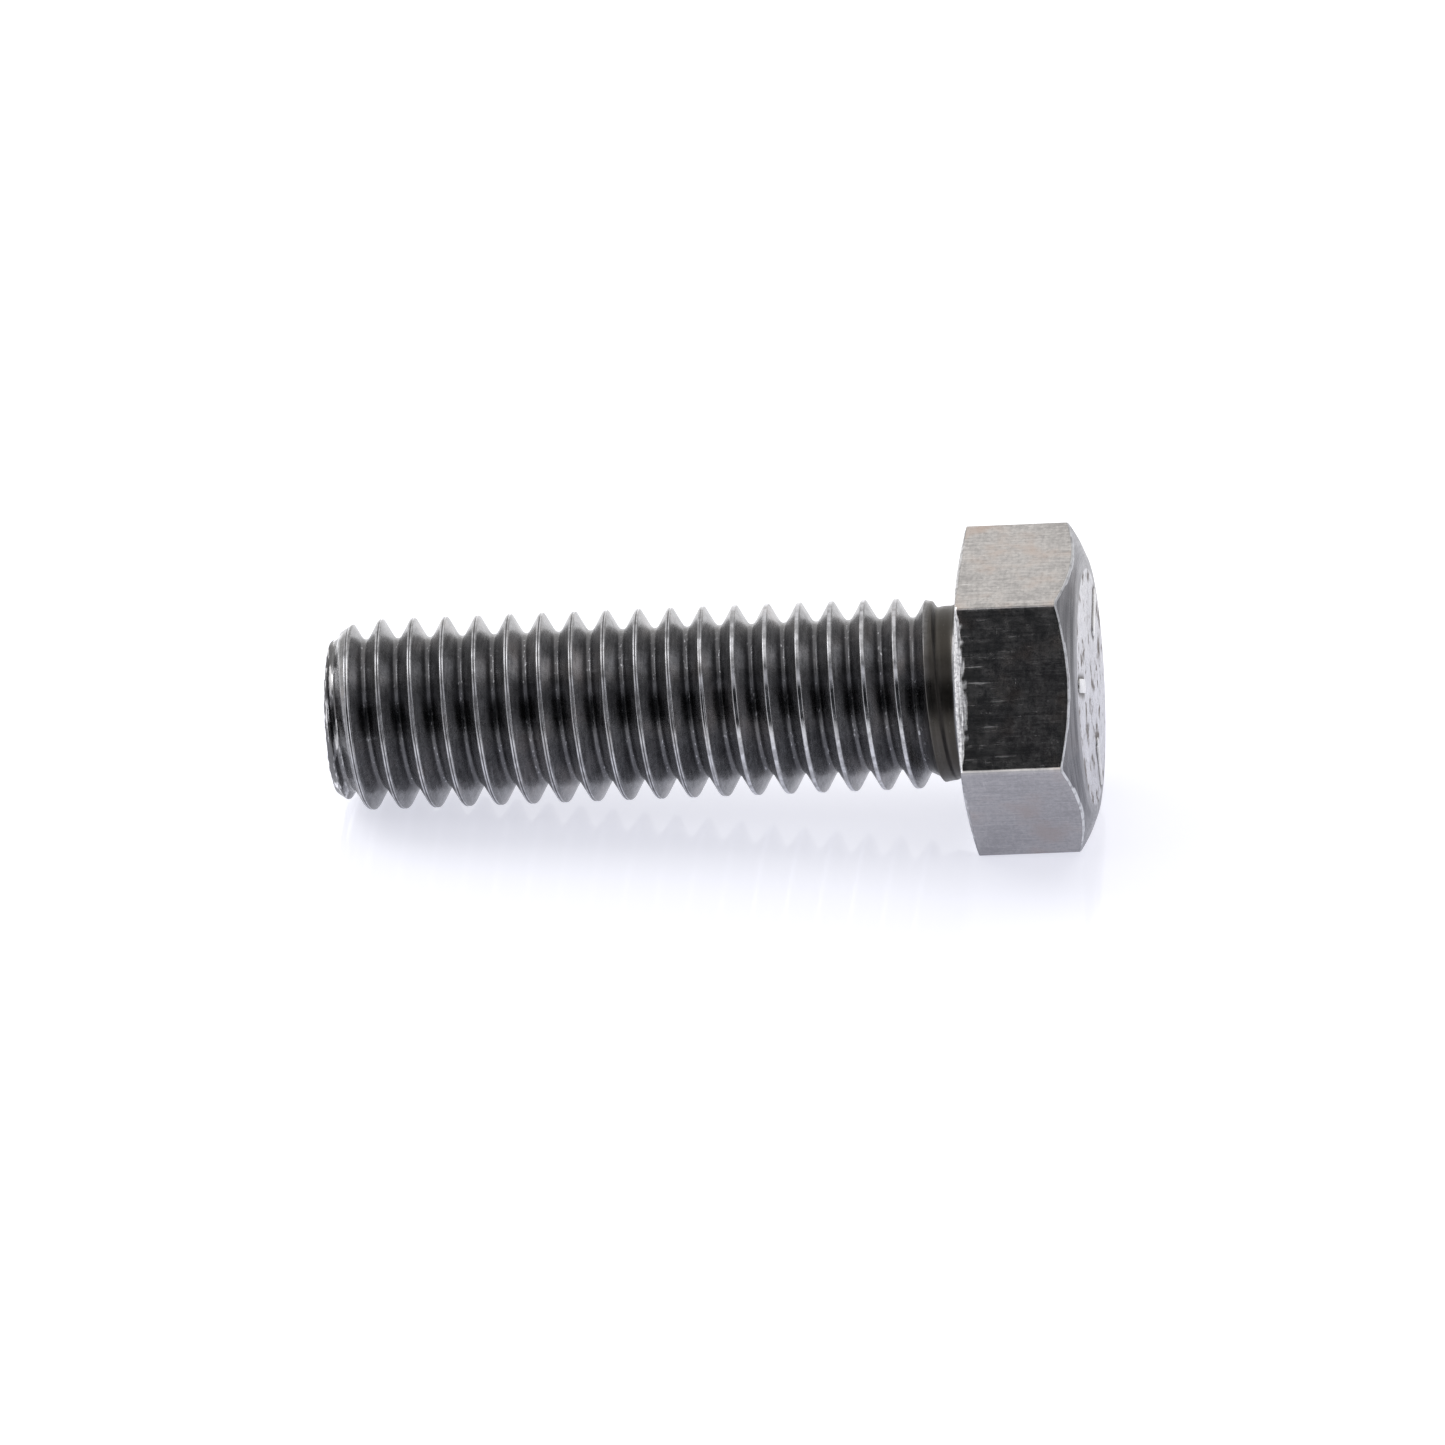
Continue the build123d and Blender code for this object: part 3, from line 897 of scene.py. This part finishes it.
def barTree(material):
    tree = bpy.data.node_groups.new("headBars", "GeometryNodeTree")
    tree.is_modifier = True
    for key, value in bars.items():
        kind = "NodeSocketInt" if isinstance(value, int) else "NodeSocketFloat"
        tree.interface.new_socket(key, in_out="INPUT", socket_type=kind)
    tree.interface.new_socket("Geometry", in_out="OUTPUT", socket_type="NodeSocketGeometry")
    given = addNode(tree, "NodeGroupInput").outputs
    ball = addNode(tree, "GeometryNodeMeshUVSphere")
    ball.inputs["Segments"].default_value = barShape["segments"]
    ball.inputs["Rings"].default_value = barShape["rings"]
    ball.inputs["Radius"].default_value = 1.0
    spot = addNode(tree, "ShaderNodeSeparateXYZ")
    feed(tree, addNode(tree, "GeometryNodeInputPosition").outputs[0], spot.inputs[0])
    # a flattened ball, pulled apart in the middle to the bar's length
    half = calc(tree, "MULTIPLY", given["Width"], 0.5)
    stretch = calc(tree, "MULTIPLY", calc(tree, "SUBTRACT", given["Length"], given["Width"]), 0.5)
    farEnd = calc(tree, "SIGN", calc(tree, "SNAP", spot.outputs[0], 0.02))
    longWay = calc(tree, "ADD", calc(tree, "MULTIPLY", spot.outputs[0], half),
                   calc(tree, "MULTIPLY", farEnd, stretch))
    flat = calc(tree, "MULTIPLY", calc(tree, "SIGN", spot.outputs[2]),
                calc(tree, "POWER", calc(tree, "ABSOLUTE", spot.outputs[2]), barShape["flatness"]))
    shaped = addNode(tree, "ShaderNodeCombineXYZ")
    feed(tree, calc(tree, "ADD", given["Centre Radius"], longWay), shaped.inputs[0])
    feed(tree, calc(tree, "MULTIPLY", spot.outputs[1], half), shaped.inputs[1])
    feed(tree, calc(tree, "MULTIPLY", flat, given["Height"]), shaped.inputs[2])
    setShape = addNode(tree, "GeometryNodeSetPosition")
    feed(tree, ball.outputs[0], setShape.inputs["Geometry"])
    feed(tree, shaped.outputs[0], setShape.inputs["Position"])
    # one copy for each angle round the axis
    places = addNode(tree, "GeometryNodeMeshLine")
    feed(tree, given["Count"], places.inputs["Count"])
    places.inputs["Offset"].default_value = (0, 0, 0)
    copies = addNode(tree, "GeometryNodeInstanceOnPoints")
    feed(tree, places.outputs[0], copies.inputs["Points"])
    feed(tree, setShape.outputs[0], copies.inputs["Instance"])
    step = calc(tree, "DIVIDE", 2 * pi, given["Count"])
    turnOf = calc(tree, "ADD", given["First Angle"], calc(
        tree, "MULTIPLY", addNode(tree, "GeometryNodeInputIndex").outputs[0], step))
    rotation = addNode(tree, "ShaderNodeCombineXYZ")
    feed(tree, turnOf, rotation.inputs[2])
    feed(tree, rotation.outputs[0], copies.inputs["Rotation"])
    realize = addNode(tree, "GeometryNodeRealizeInstances")
    feed(tree, copies.outputs[0], realize.inputs[0])
    # stood on the leaning top: the bars' own (x, y, height) become (y, z, x) of the bolt
    made = addNode(tree, "ShaderNodeSeparateXYZ")
    feed(tree, addNode(tree, "GeometryNodeInputPosition").outputs[0], made.inputs[0])
    leanCosine = calc(tree, "COSINE", given["Lean Angle"])
    leanSine = calc(tree, "SINE", given["Lean Angle"])
    towardsLean = calc(tree, "ADD", calc(tree, "MULTIPLY", made.outputs[0], leanCosine),
                       calc(tree, "MULTIPLY", made.outputs[1], leanSine))
    x = calc(tree, "ADD", calc(tree, "SUBTRACT", given["Top Level"], calc(
        tree, "MULTIPLY", towardsLean, given["Top Lean"])), made.outputs[2])
    onHead = addNode(tree, "ShaderNodeCombineXYZ")
    feed(tree, x, onHead.inputs[0])
    feed(tree, made.outputs[0], onHead.inputs[1])
    feed(tree, made.outputs[1], onHead.inputs[2])
    stand = addNode(tree, "GeometryNodeSetPosition")
    feed(tree, realize.outputs[0], stand.inputs["Geometry"])
    feed(tree, onHead.outputs[0], stand.inputs["Position"])
    setMaterial = addNode(tree, "GeometryNodeSetMaterial")
    feed(tree, stand.outputs[0], setMaterial.inputs["Geometry"])
    setMaterial.inputs["Material"].default_value = material
    feed(tree, setMaterial.outputs[0], addNode(tree, "NodeGroupOutput").inputs[0])
    return tree


barMesh = grown("headBars", barTree(barSteel), bars)
barMesh.shade_smooth()
headBars = bpy.data.objects.new("headBars", barMesh)
bpy.context.scene.collection.objects.link(headBars)
print("bars made:", len(barMesh.polygons), "faces")

for piece, slotName, *nodes in (
    (chamferedPoint, "thread_steel", "chamfered_point"),
    (threadedShank, "thread_steel", "threaded_shank"),
    (plainNeck, "thread_steel", "neck"),
    (hexHead, "head_steel", "hex_head"),
    (washerFace, "bearing_steel", "washer_face"),
    (headBars, "bar_steel", "head_bars"),
):
    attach(piece, "root")
    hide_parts(*nodes)
print("pieces ride on the root body")


# the table that the bolt lies on, touching the head's lower flat and the crest at the tip
table = {
    "halfSize": 150 * mm,
    "colour": (0.62, 0.625, 0.64),
    "glow": (0.575, 0.582, 0.645),
    "farGlow": (0.73, 0.73, 0.74),
    "gloss": 0.05,
    "gap": 0.02 * mm,
    "restsAt": 1.3 * mm,  # from the tip, where the first whole crest touches the table
    "glowChange": (9 * mm, 26 * mm),
}


def makeTable():
    rise = (flatDistance - crestRadius) / (-tipX - table["restsAt"])
    mesh = bpy.data.meshes.new("table")
    size = table["halfSize"]
    corners = [(sx * size, sy * size, -flatDistance - table["gap"] - sx * size * rise) for sx, sy in
               ((-1, -1), (1, -1), (1, 1), (-1, 1))]
    mesh.from_pydata(corners, [], [(0, 1, 2, 3)])
    material = bpy.data.materials.new("whiteTable")
    material.use_nodes = True
    tree = material.node_tree
    shader = tree.nodes["Principled BSDF"]
    shader.inputs["Base Color"].default_value = (*table["colour"], 1)
    shader.inputs["Roughness"].default_value = table["gloss"]
    # the table's glow is painted light: dimmer and bluer near the bolt as a painted shadow, whiter away
    # from it
    axes = addNode(tree, "ShaderNodeSeparateXYZ")
    feed(tree, addNode(tree, "ShaderNodeTexCoord").outputs["Object"], axes.inputs[0])
    away = fade(tree, calc(tree, "ABSOLUTE", axes.outputs[1]), *table["glowChange"])
    glow = mixColour(tree, away, table["glow"], table["farGlow"])
    feed(tree, glow, shader.inputs["Emission Color"])
    shader.inputs["Emission Strength"].default_value = 1.0
    mesh.materials.append(material)
    plane = bpy.data.objects.new("table", mesh)
    bpy.context.scene.collection.objects.link(plane)


makeTable()

# soft studio light: bright all round and behind, dark where the camera stands, a softbox above
studio = {
    "around": (1.0, 0.985, 0.965),
    "dark": (0.020, 0.022, 0.025),
    "darkTowards": (0.08, -0.84, 0.54),
    "darkEdge": (0.56, 0.84),  # cosines of the angles where the dark begins and is full
    "headSide": (0.34, 0.34, 0.37),  # dimmer past the head
    "headSideEdge": (0.35, 0.95),
    "strip": ((0.0, -0.545, 0.839), (0.982, 0.9945), 0.85),  # runs along the bolt, in front and above
    "stripEnds": (0.25, 0.45),  # sines of the angles off the bolt's axis where the strip ends
    "stripBlue": 1.04,
    "boxBlue": 1.03,
    "boxes": (  # where each softbox is, the cosines of its edge, and its brightness
        ((0.84, -0.46, 0.28), (0.945, 0.975), 1.5),
        ((-0.84, -0.50, 0.20), (0.930, 0.970), 1.2),
    ),
    "lampPower": 0.35,
    "lampSize": 220 * mm,
    "lampPlace": (-260 * mm, 60 * mm, 340 * mm),
}


def makeStudio():
    world = bpy.data.worlds.new("studio")
    bpy.context.scene.world = world
    world.use_nodes = True
    tree = world.node_tree
    tree.nodes.clear()
    direction = addNode(tree, "ShaderNodeTexCoord").outputs["Generated"]

    def facing(towards, edge):
        dot = addNode(tree, "ShaderNodeVectorMath", operation="DOT_PRODUCT")
        feed(tree, direction, dot.inputs[0])
        dot.inputs[1].default_value = Vector(towards).normalized()
        return fade(tree, dot.outputs["Value"], *edge)

    pastHead = facing((1, 0, 0), studio["headSideEdge"])
    colour = mixColour(tree, pastHead, studio["around"], studio["headSide"])
    colour = mixColour(tree, facing(studio["darkTowards"], studio["darkEdge"]), colour, studio["dark"])
    # the strip is as wide as an angle round the bolt's axis, whatever the direction along it
    towards, edge, brightness = studio["strip"]
    parts = addNode(tree, "ShaderNodeSeparateXYZ")
    feed(tree, direction, parts.inputs[0])
    y, z = parts.outputs[1], parts.outputs[2]
    offAxis = hypotenuse(tree, y, z)
    dot = calc(tree, "ADD", calc(tree, "MULTIPLY", y, towards[1]), calc(tree, "MULTIPLY", z, towards[2]))
    inStrip = fade(tree, calc(tree, "DIVIDE", dot, offAxis), *edge)
    inStrip = calc(tree, "MULTIPLY", inStrip, fade(tree, offAxis, *studio["stripEnds"]))
    strip = (brightness, brightness, brightness * studio["stripBlue"])
    colour = mixColour(tree, inStrip, colour, strip)
    for towards, edge, brightness in studio["boxes"]:
        box = (brightness, brightness, brightness * studio["boxBlue"])
        colour = mixColour(tree, facing(towards, edge), colour, box)
    light = addNode(tree, "ShaderNodeBackground")
    feed(tree, colour, light.inputs[0])
    backdrop = addNode(tree, "ShaderNodeBackground")
    backdrop.inputs[0].default_value = (1, 1, 1, 1)
    choice = addNode(tree, "ShaderNodeMixShader")
    feed(tree, addNode(tree, "ShaderNodeLightPath").outputs["Is Camera Ray"], choice.inputs[0])
    feed(tree, light.outputs[0], choice.inputs[1])
    feed(tree, backdrop.outputs[0], choice.inputs[2])
    feed(tree, choice.outputs[0], addNode(tree, "ShaderNodeOutputWorld").inputs[0])
    lampData = bpy.data.lights.new("overheadLamp", "AREA")
    lampData.energy = studio["lampPower"]
    lampData.size = studio["lampSize"]
    lamp = bpy.data.objects.new("overheadLamp", lampData)
    lamp.location = studio["lampPlace"]
    lamp.rotation_euler = (-Vector(studio["lampPlace"])).to_track_quat("-Z", "Y").to_euler()
    bpy.context.scene.collection.objects.link(lamp)


makeStudio()
print("table and lights made")

# the camera, from in front, a little to the head's side and above
camera = {
    "aside": radians(7.098),
    "above": radians(29.566),
    "roll": radians(-2.248),
    "distance": 700 * mm,
    "lookAt": -12.144 * mm,
    "lookUp": -1.053 * mm,
    "width": 70.63 * mm,  # what the camera takes in at that distance
    "sensor": 36,
}


def makeCamera():
    aside, above, roll = camera["aside"], camera["above"], camera["roll"]
    back = Vector((sin(aside), -cos(aside) * cos(above), cos(aside) * sin(above)))
    level = Vector((0, sin(above), cos(above)))
    right = level.cross(back)
    turnedRight = right * cos(roll) + level * sin(roll)
    turnedUp = level * cos(roll) - right * sin(roll)
    place = Vector((camera["lookAt"], 0, 0)) + turnedUp * camera["lookUp"] + back * camera["distance"]
    data = bpy.data.cameras.new("camera")
    data.sensor_width = camera["sensor"]
    data.lens = data.sensor_width * camera["distance"] / camera["width"]
    seer = bpy.data.objects.new("camera", data)
    axes = Matrix((turnedRight, turnedUp, back)).transposed()
    seer.matrix_world = Matrix.Translation(place) @ axes.to_4x4()
    bpy.context.scene.collection.objects.link(seer)
    bpy.context.scene.camera = seer


makeCamera()
bpy.context.scene.view_settings.view_transform = "Standard"
bpy.context.view_layer.update()
print("scene ready")
